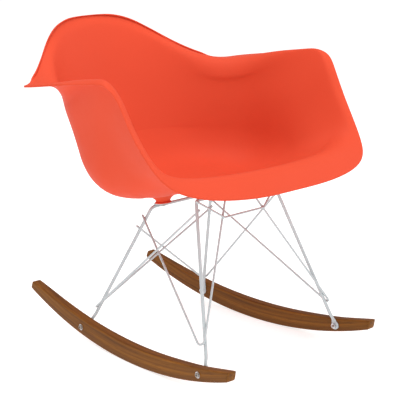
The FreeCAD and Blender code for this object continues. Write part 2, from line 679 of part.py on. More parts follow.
# ---------------------------------------------------------------- seat fixings
for name, x, bar, step in MOUNTS:
    sgn = 1 if step > 0 else -1
    y0 = min(0, sgn * 27) - (3 if sgn > 0 else 0)
    tab = Part.makeBox(30, 30, TAB_T, V(-15, y0, TAB_Z))
    tab = tab.makeFillet(5.0, [e for e in tab.Edges if abs(e.BoundBox.ZLength - TAB_T) < 1e-6 and e.BoundBox.XLength < 1e-6])
    tab = tab.cut(Part.makeCylinder(HOLE_R, 20, V(0, step, TAB_Z - 5), V(0, 0, 1)))
    depth = boss_depth[name]
    insert = Part.makeCylinder(4.5, depth - 0.5, V(0, step, BOSS_Z), V(0, 0, 1)).cut(
        Part.makeCylinder(BOLT_R + 0.02, 40, V(0, step, BOSS_Z - 5), V(0, 0, 1)))
    washer = Part.makeCylinder(6.0, 1.2, V(0, step, TAB_Z - 1.2), V(0, 0, 1)).cut(
        Part.makeCylinder(HOLE_R, 20, V(0, step, TAB_Z - 10), V(0, 0, 1)))
    head = Part.makeCylinder(5.0, 3.0, V(0, step, TAB_Z - 4.2), V(0, 0, 1))
    head = head.makeFillet(1.4, [e for e in head.Edges if abs(e.BoundBox.ZMax - TAB_Z + 4.2) < 1e-6 and e.BoundBox.XLength > 5])
    shank = Part.makeCylinder(BOLT_R, 1.2 + TAB_T + depth - 2.0, V(0, step, TAB_Z - 1.2), V(0, 0, 1))
    screw = head.fuse(shank).removeSplitter()
    hexa = [V(2.0 * math.cos(math.radians(60 * i)), step + 2.0 * math.sin(math.radians(60 * i)), TAB_Z - 4.3) for i in range(7)]
    screw = screw.cut(Part.Face(Part.makePolygon(hexa)).extrude(V(0, 0, 2.0)))
    for nm, s in (("mount_tab", tab), ("seat_insert", insert), ("seat_washer", washer), ("seat_screw", screw)):
        out["%s_%s" % (nm, name)] = to_mount(s, x, bar)

for name in sorted(out):
    s = out[name]
    s.translate(V(0, SHIFT_Y, 0))
    if len(s.Solids) != 1:
        print("WARNING", name, "solids", len(s.Solids))
    if s.ShapeType != "Solid" and len(s.Solids) == 1:
        s = s.Solids[0]
    out[name] = s
    print("%-28s valid %s volume %.1f" % (name, s.isValid(), s.Volume))
    s.exportStep("parts/" + name + ".step")
box = Part.makeCompound(list(out.values())).BoundBox
print(len(out), "parts", box)
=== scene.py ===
import math

import bmesh
import bpy
import numpy as np
from mathutils import Matrix, Vector
from mathutils.bvhtree import BVHTree


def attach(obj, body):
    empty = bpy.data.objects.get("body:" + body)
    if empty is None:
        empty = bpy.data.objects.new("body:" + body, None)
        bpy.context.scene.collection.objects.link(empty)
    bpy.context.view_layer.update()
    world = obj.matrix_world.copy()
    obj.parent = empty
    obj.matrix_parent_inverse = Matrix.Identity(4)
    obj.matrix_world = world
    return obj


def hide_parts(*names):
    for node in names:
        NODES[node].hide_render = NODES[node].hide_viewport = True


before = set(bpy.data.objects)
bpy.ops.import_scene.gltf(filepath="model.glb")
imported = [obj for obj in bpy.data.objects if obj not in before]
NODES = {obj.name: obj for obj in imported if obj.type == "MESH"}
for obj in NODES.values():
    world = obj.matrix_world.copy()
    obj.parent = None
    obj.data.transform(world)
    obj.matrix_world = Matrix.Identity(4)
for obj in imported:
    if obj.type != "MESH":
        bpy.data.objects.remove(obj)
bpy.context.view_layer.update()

MM = 0.001
SHIFT_Y = -7.326

# ------------------------------------------------------------------ camera
AZ, EL, ROLL = math.radians(-43.74591), math.radians(14.46697), math.radians(-0.12480)
FOCAL_PX = 1310.536
EYE = Vector((-1849.549, -1955.359 + SHIFT_Y, 1001.972)) * MM

back = Vector((math.sin(AZ) * math.cos(EL), -math.cos(AZ) * math.cos(EL), math.sin(EL)))
right = Vector((math.cos(AZ), math.sin(AZ), 0.0))
up = back.cross(right)
right, up = math.cos(ROLL) * right + math.sin(ROLL) * up, -math.sin(ROLL) * right + math.cos(ROLL) * up
cam_data = bpy.data.cameras.new("camera")
cam_data.sensor_fit = "HORIZONTAL"
cam_data.sensor_width = 36.0
cam_data.lens = FOCAL_PX / 400.0 * 36.0
cam_data.clip_start = 0.05
cam_data.clip_end = 200.0
cam = bpy.data.objects.new("camera", cam_data)
cam.matrix_world = Matrix((
    (right.x, up.x, back.x, EYE.x),
    (right.y, up.y, back.y, EYE.y),
    (right.z, up.z, back.z, EYE.z),
    (0, 0, 0, 1)))
bpy.context.scene.collection.objects.link(cam)
bpy.context.scene.camera = cam


# ------------------------------------------------------------------ mesh helpers
def add_mesh(name, verts, faces, smooth=True, sharp=None):
    """A new object from points in millimetres. Faces are wound outward."""
    v = np.asarray(verts, float) * MM
    v[:, 1] += SHIFT_Y * MM
    me = bpy.data.meshes.new(name)
    me.from_pydata([tuple(p) for p in v], [], [tuple(int(i) for i in f) for f in faces])
    me.validate()
    me.update()
    ob = bpy.data.objects.new(name, me)
    bpy.context.scene.collection.objects.link(ob)
    if smooth:
        me.polygons.foreach_set("use_smooth", [True] * len(me.polygons))
    if sharp is not None:
        me.set_sharp_from_angle(angle=math.radians(sharp))
    return ob


def turned_out(ob):
    """Makes every closed part of the mesh face outward."""
    bm = bmesh.new()
    bm.from_mesh(ob.data)
    bmesh.ops.recalc_face_normals(bm, faces=bm.faces)
    bm.to_mesh(ob.data)
    bm.free()


def unit(v):
    v = np.asarray(v, float)
    return v / np.linalg.norm(v)


def rotate_x(p, deg):
    a = math.radians(deg)
    p = np.asarray(p, float)
    return np.stack([p[..., 0], p[..., 1] * math.cos(a) - p[..., 2] * math.sin(a),
                     p[..., 1] * math.sin(a) + p[..., 2] * math.cos(a)], -1)


# ------------------------------------------------------------------ the moulded shell's surface
SHELL_T = 4.5
CENTRE = (0, 20, 345)
# rings, half of each from the middle of the front edge round the +X side to the middle of the back
RIM = [(0, -295.6, 385.6), (91.8, -299, 386.5), (180.7, -289.5, 393.9), (245.1, -261.4, 404.4), (281.1, -227.4, 424.5),
       (295.6, -190.2, 468.3), (302.8, -153.4, 518.6), (303.3, -128, 570.2), (315.5, -98.5, 606.5), (313.9, -46.2, 597.3),
       (311.3, 30.9, 589.9), (312.3, 104.2, 578.5), (311.9, 175.8, 568.2), (255, 203.7, 559.7), (180.5, 273.2, 602.5),
       (104.4, 328.3, 666.3), (0, 347.2, 671.5)]
CREST = [(0, -251.1, 423.2), (87.6, -247.1, 424.2), (169.3, -232.3, 424), (231.4, -207.2, 427.7), (270.2, -202.6, 443.8),
         (283.6, -180.6, 476.3), (287.8, -143.9, 525.2), (289.8, -118.1, 576.4), (301.8, -89.5, 612.8),
         (298.9, -45.9, 605.4), (283.7, 25.3, 595.3), (270.3, 82, 576), (256, 118.5, 567), (220, 172.5, 564.5),
         (171, 259, 598.5), (94.3, 319.6, 648.2), (0, 333, 660.4)]
WALL = [(0, -191.6, 389.1), (83.1, -185.4, 391), (156.2, -166, 392.3), (215, -141.5, 402), (238.9, -123.1, 423.8),
        (245.8, -100.6, 445.1), (250.9, -75.4, 468.7), (254.2, -52.1, 492.6), (255.6, -29.9, 502.5), (254.9, 0.8, 499.5),
        (248.7, 43.6, 491), (241.2, 84.4, 480), (221, 116, 472), (186.6, 157.7, 470.2), (139.7, 209.9, 474.6),
        (73.6, 244.9, 476.7), (0, 256.8, 476.5)]
FOOT = [(0, -98.5, 358.2), (69.5, -93.2, 359.4), (124.1, -79.5, 357.6), (170.1, -63.6, 350.4), (192.2, -45.1, 351.5),
        (205.3, -35.7, 346.7), (212.7, -22.7, 344.5), (217.3, -10.7, 342), (220.1, 4.2, 340.9), (224.4, 21.8, 341.1),
        (220.5, 45.6, 340.1), (208.8, 75.1, 345), (189.2, 104.3, 348.9), (160.4, 134, 350.5), (116.4, 160.9, 352.2),
        (60.9, 175.3, 354), (0, 179.5, 354)]
# how far each line's turn over the crest reaches: share of the wall, share of the lip, most, and outward pull
TURN = [(0.35, 0.6, 40, 0.5), (0.35, 0.6, 40, 0.5), (0.35, 0.6, 40, 0.5), (0.35, 0.6, 40, 0.5),
        (0.35, 0.6, 40, 0.5), (0.35, 0.6, 40, 0.5), (0.35, 0.6, 40, 0.5), (0.35, 0.6, 40, 0.5),
        (0.35, 0.6, 40, 0.5), (0.35, 0.6, 42, 0.5), (0.37, 0.65, 48, 0.45), (0.36, 0.7, 58, 0.4),
        (0.34, 0.75, 66, 0.35), (0.38, 0.8, 70, 0.3), (0.45, 0.8, 70, 0.25), (0.5, 0.8, 70, 0.25),
        (0.5, 0.8, 70, 0.25)]


def lerp(a, b, t):
    return a + (b - a) * t


def bez(a, c, b, t):
    return (1 - t) ** 2 * a + 2 * (1 - t) * t * c + t * t * b


def profile(F, W, K, R, turn):
    """Points of one radial line of the seat, from the centre to the rim."""
    C, F, W, K, R = (np.array(p, float) for p in (CENTRE, F, W, K, R))
    n = np.linalg.norm
    d1, d2 = F - C, W - F
    tf = min(0.5 * n(d1), 0.55 * n(d2), 80.0)
    a1, a2 = F - d1 * tf / n(d1), F + d2 * tf / n(d2)
    d1, d2 = W - F, K - W
    tw = min(0.4 * n(d1), 0.4 * n(d2), 60.0)
    b1, b2 = W - d1 * tw / n(d1), W + d2 * tw / n(d2)
    d1, d2 = K - W, R - K
    tk = min(turn[0] * n(d1), turn[1] * n(d2), turn[2])
    m1, m2 = K - d1 * tk / n(d1), K + d2 * tk / n(d2)
    Kc = K + (K - lerp(m1, m2, 0.5)) * turn[3]
    e1, e2 = W - Kc, R - Kc
    c1, c2 = Kc + e1 * tk / n(e1), Kc + e2 * tk / n(e2)
    return np.array([C, lerp(C, a1, 0.16), lerp(C, a1, 0.5), a1, bez(a1, F, a2, 0.33), bez(a1, F, a2, 0.67), a2,
                     lerp(a2, b1, 0.5), b1, bez(b1, W, b2, 0.5), b2, lerp(b2, c1, 0.5), c1,
                     bez(c1, Kc, c2, 0.5), c2, R])


half = [profile(*rings) for rings in zip(FOOT, WALL, CREST, RIM, TURN)]
COLS = np.array(half + [c * np.array([-1, 1, 1]) for c in half[-2:0:-1]])
M, N = COLS.shape[:2]
step = np.linalg.norm(np.diff(COLS, axis=1), axis=2).mean(0)
T_RAD = np.concatenate([[0.0], np.cumsum(np.maximum(step, 1e-6) ** 0.75)])
T_RAD /= T_RAD[-1]
U_RAD = np.array([0.0] * 4 + [T_RAD[j:j + 3].mean() for j in range(1, N - 3)] + [1.0] * 4)


def radial_basis(us):
    """Rows of cubic B-spline weights over the N radial control points."""
    B = np.zeros((len(us), N))
    for r, u in enumerate(us):
        i = N - 1 if u >= U_RAD[N] else int(np.searchsorted(U_RAD, u, side="right")) - 1
        w = [1.0, 0.0, 0.0, 0.0]
        L, R = [0.0] * 4, [0.0] * 4
        for j in range(1, 4):
            L[j], R[j], s = u - U_RAD[i + 1 - j], U_RAD[i + j] - u, 0.0
            for k in range(j):
                q = w[k] / (R[k + 1] + L[j - k])
                w[k] = s + R[k + 1] * q
                s = L[j - k] * q
            w[j] = s
        B[r, i - 3:i + 1] = w
    return B


def ring_basis(ths):
    """Rows of periodic uniform cubic B-spline weights over the M columns."""
    B = np.zeros((len(ths), M))
    for r, th in enumerate(ths):
        f = math.floor(th)
        t = th - f
        for a, w in enumerate(((1 - t) ** 3 / 6, (3 * t ** 3 - 6 * t * t + 4) / 6,
                               (-3 * t ** 3 + 3 * t * t + 3 * t + 1) / 6, t ** 3 / 6)):
            B[r, (f + a - 1) % M] += w
    return B


CTL = np.einsum("jn,mnc->mjc", np.linalg.inv(radial_basis(T_RAD)), COLS)


def surf(ths, us, ctl=CTL):
    return np.einsum("tm,mnc,un->tuc", ring_basis(ths), ctl, radial_basis(us))


def surf_normal(ths, us):
    us = np.asarray(us, float)
    lo, hi = np.maximum(us - 1e-3, 0), np.minimum(us + 1e-3, 1)
    du = surf(ths, hi) - surf(ths, lo)
    ths = np.asarray(ths, float)
    dt = surf(ths + 0.01, us) - surf(ths - 0.01, us)
    n = np.cross(du, dt)
    length = np.linalg.norm(n, axis=2, keepdims=True)
    n = np.where(length > 1e-9, n / np.maximum(length, 1e-12), 0)
    n[:, us < 1e-4] = (0, 0, 1)
    return n


def shell_grid(per_span=12, gap=5.0):
    ths = np.arange(M * per_span) / per_span
    us = [0.0]
    for j in range(N - 1):
        k = max(3, int(math.ceil(step[j] / gap)))
        us += list(T_RAD[j] + (T_RAD[j + 1] - T_RAD[j]) * np.arange(1, k + 1) / k)
    return ths, np.array(us)


def ring_rows(n_cols, rows, lengths):
    """How many of the columns each ring keeps, so that its edges aren't tiny near the centre."""
    keep = []
    for j in range(rows):
        k = 1
        while k < 16 and lengths[j] * k * 2 < 5.5:
            k *= 2
        keep.append(k)
    return keep


def spline(points, n):
    """Natural cubic through points, by chord length."""
    P = np.array(points, float)
    t = np.concatenate([[0], np.cumsum(np.linalg.norm(np.diff(P, axis=0), axis=1))])
    k = len(P)
    h = np.diff(t)
    A = np.zeros((k, k))
    b = np.zeros((k, P.shape[1]))
    A[0, 0] = A[-1, -1] = 1
    for i in range(1, k - 1):
        A[i, i - 1], A[i, i], A[i, i + 1] = h[i - 1], 2 * (h[i - 1] + h[i]), h[i]
        b[i] = 6 * ((P[i + 1] - P[i]) / h[i] - (P[i] - P[i - 1]) / h[i - 1])
    m = np.linalg.solve(A, b)
    s = np.linspace(0, t[-1], n)
    i = np.clip(np.searchsorted(t, s, side="right") - 1, 0, k - 2)
    d = (s - t[i])[:, None]
    hi = h[i][:, None]
    return (m[i] * (hi - d) ** 3 / (6 * hi) + m[i + 1] * d ** 3 / (6 * hi)
            + (P[i] / hi - m[i] * hi / 6) * (hi - d) + (P[i + 1] / hi - m[i + 1] * hi / 6) * d)


def build_shell():
    ths, us = shell_grid()
    n = len(ths)
    top = surf(ths, us)
    nrm = surf_normal(ths, us)
    bottom = top - SHELL_T * nrm
    # rounded rim, a cubic from the upper edge to the lower one
    out = top[:, -1] - surf(ths, [1 - 2e-3])[:, 0]
    out /= np.linalg.norm(out, axis=1, keepdims=True)
    a, b = top[:, -1], bottom[:, -1]
    rim = []
    for t in np.arange(1, 10) / 10.0:
        c1, c2 = a + out * SHELL_T * 0.55, b + out * SHELL_T * 0.55
        rim.append((1 - t) ** 3 * a + 3 * (1 - t) ** 2 * t * c1 + 3 * (1 - t) * t * t * c2 + t ** 3 * b)
    verts, faces = [], []

    def ring(points, k):
        start = len(verts)
        verts.extend(points[::k])
        return start, n // k

    def bridge(r0, r1):
        (s0, n0), (s1, n1) = r0, r1
        if n0 == n1:
            for i in range(n0):
                j = (i + 1) % n0
                faces.append((s0 + i, s1 + i, s1 + j, s0 + j))
        elif n1 == 2 * n0:
            for i in range(n0):
                j = (i + 1) % n0
                faces.append((s0 + i, s1 + 2 * i, s1 + 2 * i + 1))
                faces.append((s0 + i, s1 + 2 * i + 1, s0 + j))
                faces.append((s0 + j, s1 + 2 * i + 1, s1 + (2 * i + 2) % n1))
        else:
            for i in range(n1):
                j = (i + 1) % n1
                faces.append((s0 + 2 * i, s1 + i, s0 + 2 * i + 1))
                faces.append((s0 + 2 * i + 1, s1 + i, s1 + j))
                faces.append((s0 + 2 * i + 1, s1 + j, s0 + (2 * i + 2) % n0))

    edge = np.linalg.norm(np.roll(top, -1, 0) - top, axis=2).mean(0)
    keep = ring_rows(n, len(us), edge)
    for j in range(len(us) - 2, 0, -1):  # no two neighbours may differ by more than a factor of two
        keep[j] = min(keep[j], 2 * keep[j + 1])
    verts.append(top[0, 0])
    prev = None
    for j in range(1, len(us)):
        cur = ring(top[:, j], keep[j])
        if prev is None:
            for i in range(cur[1]):
                faces.append((0, cur[0] + i, cur[0] + (i + 1) % cur[1]))
        else:
            bridge(prev, cur)
        prev = cur
    for r in rim:
        cur = ring(r, 1)
        bridge(prev, cur)
        prev = cur
    for j in range(len(us) - 1, 0, -1):
        cur = ring(bottom[:, j], keep[j])
        bridge(prev, cur)
        prev = cur
    last = len(verts)
    verts.append(bottom[0, 0])
    for i in range(prev[1]):
        faces.append((last, prev[0] + (i + 1) % prev[1], prev[0] + i))
    v = np.array(verts)
    for k, top_at, band in ((0, 314.6, 2.0), (1, 342.8, 4.0), (2, 672.2, 4.0)):  # the outermost points of the rim are rounded within its own line
        over = np.maximum(np.abs(v[:, k]) - (top_at - band), 0.0) * (v[:, k] > 0 if k else 1)
        v[:, k] += np.sign(v[:, k]) * (band * np.tanh(over / band) - over)
    return v, faces


shell_v, shell_f = build_shell()
shell = add_mesh("shell", shell_v, shell_f)
turned_out(shell)

# ------------------------------------------------------------------ wires
BAR_R, BRACE_R = 3.5, 2.25
REAR_TOP, FRONT_TOP = (86.0, 32.4, 302.2), (111.6, -128.4, 350.0)
REAR_FOOT, FRONT_FOOT = (145.5, 33.0), (-240.6, 41.0)
REAR_BEND, FRONT_BEND = 12.0, 8.0
ROCKER_X, ROCKER_TOE, ROCKER_W, ROCKER_R, ROCKER_Y0 = 190.4, 0.0547, 22.0, 919.6, -24.4
EYE_R = 9.0
EYE_T = 4.0
EYE_MID = -(ROCKER_W / 2 + EYE_T / 2)
TOE = math.atan(ROCKER_TOE)
TAB_T = 2.5
TAB_Z = BAR_R - 0.04
BOSS_Z = TAB_Z + TAB_T
MOUNT_STEP = 13.0
REAR_MOUNT_X, FRONT_MOUNT_X = 65.0, 78.0
TILT = 8.0
REAR_BOSS_R, FRONT_BOSS_R = 17.8, 16.0
REAR_BORE, FRONT_BORE = 14.0, 10.5
# radius and height of a rear boss from its neck out into the shell
BOSS_FLARE = [(15.2, 4.0), (16.4, 7.0), (19.6, 10.5), (24.4, 14.0), (30.5, 18.0), (37.0, 22.0), (44.0, 26.2), (50.5, 29.4)]


def on_rocker(p, side=1):
    """Point of the un-toed rocker's frame (x outboard of its centre plane) in its real place."""
    p = np.asarray(p, float)
    x = ROCKER_X + p[..., 0] * math.cos(TOE) - p[..., 1] * math.sin(TOE)
    y = p[..., 0] * math.sin(TOE) + p[..., 1] * math.cos(TOE)
    return np.stack([side * x, y, p[..., 2]], -1)


def flip(p):
    p = np.array(p, float)
    p[..., 0] *= -1
    return p


def bent_path(pts, radii, straight=6.0, arc_deg=6.0):
    """Centreline through pts with an arc at each inner point."""
    pts = [np.array(p, float) for p in pts]
    P, start = [], pts[0]
    for i in range(1, len(pts) - 1):
        a, p, b = pts[i - 1], pts[i], pts[i + 1]
        d1, d2 = unit(a - p), unit(b - p)
        half = math.acos(float(np.clip(d1 @ d2, -1, 1))) / 2
        R = radii[i - 1]
        t = R / math.tan(half)
        t1, t2 = p + d1 * t, p + d2 * t
        c = p + unit(d1 + d2) * R / math.sin(half)
        k = max(1, int(np.linalg.norm(t1 - start) / straight))
        P += [start + (t1 - start) * q / k for q in range(k)]
        e1, e2 = unit(t1 - c), unit(t2 - c)
        ang = math.acos(float(np.clip(e1 @ e2, -1, 1)))
        m = max(4, int(math.ceil(math.degrees(ang) / arc_deg)))
        for q in range(m):
            f = q / m
            P.append(c + (e1 * math.sin((1 - f) * ang) + e2 * math.sin(f * ang)) / math.sin(ang) * R)
        start = t2
    k = max(1, int(np.linalg.norm(pts[-1] - start) / straight))
    P += [start + (pts[-1] - start) * q / k for q in range(k + 1)]
    return np.array(P)


def frames(P, first=None):
    """Tangents and a twist-free pair of normals along a path."""
    T = np.gradient(P, axis=0)
    T /= np.linalg.norm(T, axis=1, keepdims=True)
    n = np.array(first if first is not None else (0.31, 0.17, 0.93), float)
    A = []
    for t in T:
        n = n - t * (n @ t)
        n /= np.linalg.norm(n)
        A.append(n.copy())
    A = np.array(A)
    return T, A, np.cross(T, A)


def tube(P, r, seg=20, ends=(True, True), round_end=0.5):
    """Round wire with slightly eased ends. Returns vertices and faces."""
    P = np.asarray(P, float)
    T, A, B = frames(P)
    rad = np.full(len(P), float(r))
    pts, rr, AA, BB = list(P), list(rad), list(A), list(B)
    for at_end in (0, 1):
        if not ends[at_end]:
            continue
        p, t = (P[-1], T[-1]) if at_end else (P[0], -T[0])
        extra = [(p - t * round_end * (1 - f), r - round_end * (1 - math.sqrt(1 - f * f))) for f in (0.0, 0.5, 0.87, 1.0)]
        if at_end:
            pts, rr = pts[:-1], rr[:-1]
            AA, BB = AA[:-1], BB[:-1]
            pts += [e[0] for e in extra]
            rr += [e[1] for e in extra]
            AA += [A[-1]] * 4
            BB += [B[-1]] * 4
        else:
            pts, rr = pts[1:], rr[1:]
            AA, BB = AA[1:], BB[1:]
            pts = [e[0] for e in extra[::-1]] + pts
            rr = [e[1] for e in extra[::-1]] + rr
            AA = [A[0]] * 4 + AA
            BB = [B[0]] * 4 + BB
    verts, faces = [], []
    ang = np.arange(seg) * 2 * math.pi / seg
    for p, q, a, b in zip(pts, rr, AA, BB):
        for w in ang:
            verts.append(p + q * (math.cos(w) * a + math.sin(w) * b))
    k = len(pts)
    for i in range(k - 1):
        for j in range(seg):
            j2 = (j + 1) % seg
            faces.append((i * seg + j, i * seg + j2, (i + 1) * seg + j2, (i + 1) * seg + j))
    faces.append(tuple(range(seg - 1, -1, -1)))
    faces.append(tuple((k - 1) * seg + j for j in range(seg)))
    return np.array(verts), faces


def joined(parts):
    verts, faces, base = [], [], 0
    for v, f in parts:
        verts.append(np.asarray(v, float))
        faces += [tuple(i + base for i in face) for face in f]
        base += len(v)
    return np.concatenate(verts), faces


def on_leg(foot, d, z):
    return foot + d * (z - foot[2]) / d[2]


def leg(top, foot):
    f = on_rocker((EYE_MID, foot[0], foot[1]))
    return f, unit(np.array(top) - f)


def eye_and_leg(top, foot):
    """Loft from the bottom of the flattened eye, flat against the rocker, up into the round leg."""
    f, d = leg(top, foot)
    out = unit(on_rocker((1, 0, 0)) - on_rocker((0, 0, 0)))
    e1 = unit(d - out * (d @ out))
    ss = list(-EYE_R * np.cos(np.linspace(0.0, math.pi * 0.62, 20))) + list(np.linspace(5.5, 34, 20))
    rings = []
    seg = 28
    ang = np.arange(seg) * 2 * math.pi / seg
    for s in ss:
        g = np.clip((s - 6.0) / 24.0, 0, 1)
        g = g * g * (3 - 2 * g)
        c = f + e1 * s * (1 - g) + d * s * g
        axis = unit(e1 * (1 - g) + d * g)
        w_disc = math.sqrt(max(EYE_R ** 2 - s * s, 0.0)) if s < EYE_R else 0.0
        blend = np.clip((s - 1.0) / 15.0, 0, 1)
        w_neck = lerp(EYE_R * 0.98, BAR_R, blend ** 0.75) if s > 0 else 0.0
        w = max(w_disc, w_neck, 0.9)
        t = lerp(EYE_T / 2, BAR_R, g)
        if s < -EYE_R + 1.4:
            t = EYE_T / 2 - 1.2 * (1 - (s + EYE_R) / 1.4) ** 2
        power = lerp(0.42, 1.0, np.clip((s - 4.0) / 16.0, 0, 1))
        n_out = unit(out - axis * (out @ axis))
        side = np.cross(axis, n_out)
        ca, sa = np.cos(ang), np.sin(ang)
        px = np.sign(ca) * np.abs(ca) ** power * w
        py = np.sign(sa) * np.abs(sa) ** power * t
        rings.append(c + px[:, None] * side + py[:, None] * n_out)
    verts = np.concatenate(rings)
    faces = []
    for i in range(len(rings) - 1):
        for j in range(seg):
            j2 = (j + 1) % seg
            faces.append((i * seg + j, i * seg + j2, (i + 1) * seg + j2, (i + 1) * seg + j))
    faces.append(tuple(range(seg - 1, -1, -1)))
    faces.append(tuple((len(rings) - 1) * seg + j for j in range(seg)))
    return verts, faces, f + d * 33.0


def hoop(name, top, foot, bend):
    v, fc, start = eye_and_leg(top, foot)
    pts = [start, np.array(top), flip(top), flip(start)]
    bar = tube(bent_path(pts, [bend, bend]), BAR_R, seg=24, round_end=0.2)
    ob = add_mesh(name, *joined([bar, (v, fc), (flip(v), [f[::-1] for f in fc])]), sharp=40)
    turned_out(ob)
    return ob


rear_hoop = hoop("rear_hoop_wire", REAR_TOP, REAR_FOOT, REAR_BEND)
front_hoop = hoop("front_hoop_wire", FRONT_TOP, FRONT_FOOT, FRONT_BEND)

SUM_R = BAR_R + BRACE_R - 0.03


def beside(q, dleg, other, side):
    n = unit(np.cross(dleg, q - other))
    if n @ np.array(side) < 0:
        n = -n
    return q + n * SUM_R


def v_brace(foot, d, z0, apex_side, ends):
    q0 = on_leg(foot, d, z0)
    reach = SUM_R
    for _ in range(400):
        apex = q0 + apex_side * reach
        pts = []
        for q, dd, side, run in ends:
            e = beside(q, dd, apex, side)
            pts.append(e + unit(e - apex) * run)
        path = bent_path([pts[0], apex, pts[1]], [9.0], straight=1.0, arc_deg=5.0)
        gap = np.linalg.norm(np.cross(path - foot, d), axis=1).min()
        if gap >= SUM_R:
            break
        reach += 0.05
    return [pts[0], apex, pts[1]]


rf, ru = leg(REAR_TOP, REAR_FOOT)
ff, fu = leg(FRONT_TOP, FRONT_FOOT)


def rear_v(low, front, z, side, run):
    return v_brace(rf, ru, low, unit((0.754, 0.657, 0.0)),
                   [(on_leg(ff, fu, front), fu, (-0.3, 1.0, 0.0), run[0]),
                    (on_leg(flip(rf), flip(ru), z), flip(ru), side, run[1])])


def front_v(z):
    return v_brace(ff, fu, 76.0, unit((0.922, -0.388, 0.0)),
                   [(on_leg(rf, ru, z), ru, (1.0, -0.6, 0.0), 9.0),
                    (np.array((33.0, FRONT_TOP[1], FRONT_TOP[2])), np.array((1.0, 0, 0)), (0.0, -1.0, -0.2), 6.0)])


REAR_V = rear_v(61.4, 328.4, 253.0, (0.2, 1.0, 0.3), (7.0, 9.0))
REAR_V_2 = rear_v(66.0, 331.4, 269.0, (-0.2, -1.0, -0.3), (3.0, 3.0))
FRONT_V, FRONT_V_2 = front_v(281.0), front_v(276.0)
wires = [rear_hoop, front_hoop]
paths = {}
for name, pts in (("v_brace_rear_left", REAR_V), ("v_brace_rear_right", [flip(p) for p in REAR_V_2]),
                  ("v_brace_front_left", FRONT_V), ("v_brace_front_right", [flip(p) for p in FRONT_V_2])):
    paths[name] = bent_path(pts, [9.0])
    ob = add_mesh(name + "_wire", *tube(paths[name], BRACE_R), sharp=40)
    turned_out(ob)
    wires.append(ob)

arm_a, arm_b = FRONT_V[1], FRONT_V[2]
arm_d = unit(arm_b - arm_a)
corner = arm_a + arm_d * (311.8 - arm_a[2]) / arm_d[2] + unit((0.0, -1.0, -0.3)) * (2 * BRACE_R + 1.2)
tie_end = beside(on_leg(ff, fu, 346.0), fu, corner, (0.0, -1.0, 0.0))
tie_run = tie_end + unit(tie_end - corner) * 6.0
paths["front_tie"] = bent_path([tie_run, corner, flip(corner), flip(tie_run)], [7.0, 7.0])
tie = add_mesh("front_tie_wire", *tube(paths["front_tie"], BRACE_R), sharp=40)
turned_out(tie)
wires.append(tie)
paths["rear_hoop"] = bent_path([rf, REAR_TOP, flip(REAR_TOP), flip(rf)], [REAR_BEND, REAR_BEND])
paths["front_hoop"] = bent_path([ff, FRONT_TOP, flip(FRONT_TOP), flip(ff)], [FRONT_BEND, FRONT_BEND])



def weld_beads():
    """A small bead in the groove wherever two wires touch."""
    verts, faces = [], []
    names = list(paths)
    for i, na in enumerate(names):
        for nb in names[i + 1:]:
            A, B = (resampled(paths[n], 1.0) for n in (na, nb))
            d = np.linalg.norm(A[:, None] - B[None], axis=2)
            reach = (BAR_R if "hoop" in na else BRACE_R) + (BAR_R if "hoop" in nb else BRACE_R)
            while d.min() < reach + 0.9:
                p, q = np.unravel_index(d.argmin(), d.shape)
                ra = BAR_R if "hoop" in na else BRACE_R
                c = A[p] + (B[q] - A[p]) * ra / reach
                thin, at = (A, p) if "hoop" not in na else (B, q)
                along = unit(thin[min(at + 2, len(thin) - 1)] - thin[max(at - 2, 0)])
                across = unit(B[q] - A[p])
                across = unit(across - along * (across @ along))
                third = np.cross(along, across)
                k = len(verts)
                for th in np.linspace(0, math.pi, 9):
                    for ph in np.arange(14) * 2 * math.pi / 14:
                        w = 1 + 0.10 * math.sin(3 * ph + 5 * th + i)
                        verts.append(c + along * 4.6 * math.cos(th) + w * math.sin(th) * (
                            across * 1.5 * math.cos(ph) + third * 2.7 * math.sin(ph)))
                for r in range(8):
                    for t in range(14):
                        u = (t + 1) % 14
                        if r == 0:
                            faces.append((k, k + 14 + t, k + 14 + u))
                        elif r == 7:
                            faces.append((k + 98 + t, k + 112, k + 98 + u))
                        else:
                            faces.append((k + r * 14 + t, k + (r + 1) * 14 + t, k + (r + 1) * 14 + u, k + r * 14 + u))
                near = np.linalg.norm(A - A[p], axis=1) < 30
                d[near] = 1e9
    ob = add_mesh("weld_beads", verts, faces)
    bm = bmesh.new()
    bm.from_mesh(ob.data)
    bmesh.ops.remove_doubles(bm, verts=bm.verts, dist=1e-7)
    loose = [v for v in bm.verts if not v.link_faces]
    bmesh.ops.delete(bm, geom=loose, context="VERTS")
    bmesh.ops.recalc_face_normals(bm, faces=bm.faces)
    bm.to_mesh(ob.data)
    bm.free()
    return ob


def resampled(P, gap):
    t = np.concatenate([[0], np.cumsum(np.linalg.norm(np.diff(P, axis=0), axis=1))])
    s = np.linspace(0, t[-1], int(t[-1] / gap) + 2)
    return np.stack([np.interp(s, t, P[:, k]) for k in range(3)], 1)


welds = weld_beads()

# ------------------------------------------------------------------ the shell's mounting bosses
MOUNTS = [(REAR_MOUNT_X, REAR_TOP, -MOUNT_STEP), (-REAR_MOUNT_X, REAR_TOP, -MOUNT_STEP),
          (FRONT_MOUNT_X, FRONT_TOP, MOUNT_STEP), (-FRONT_MOUNT_X, FRONT_TOP, MOUNT_STEP)]
shell_tree = BVHTree.FromPolygons([tuple(p) for p in shell_v], [tuple(int(i) for i in f) for f in shell_f])


def in_mount(p, x, bar):
    """Point of a mount's own frame (axis at the cross bar, +Z up to the seat) in its real place."""
    return rotate_x(p, -TILT) + np.array((x, bar[1], bar[2]))


def wall_above(r, ph, x, bar, step_y):
    """Local height of the shell's underside over a point of the boss."""
    p = in_mount(np.array((r * math.cos(ph), step_y + r * math.sin(ph), BOSS_Z)), x, bar)
    hit = shell_tree.ray_cast(Vector(p), Vector(rotate_x(np.array((0.0, 0.0, 1.0)), -TILT)), 100.0)
    return hit[3]


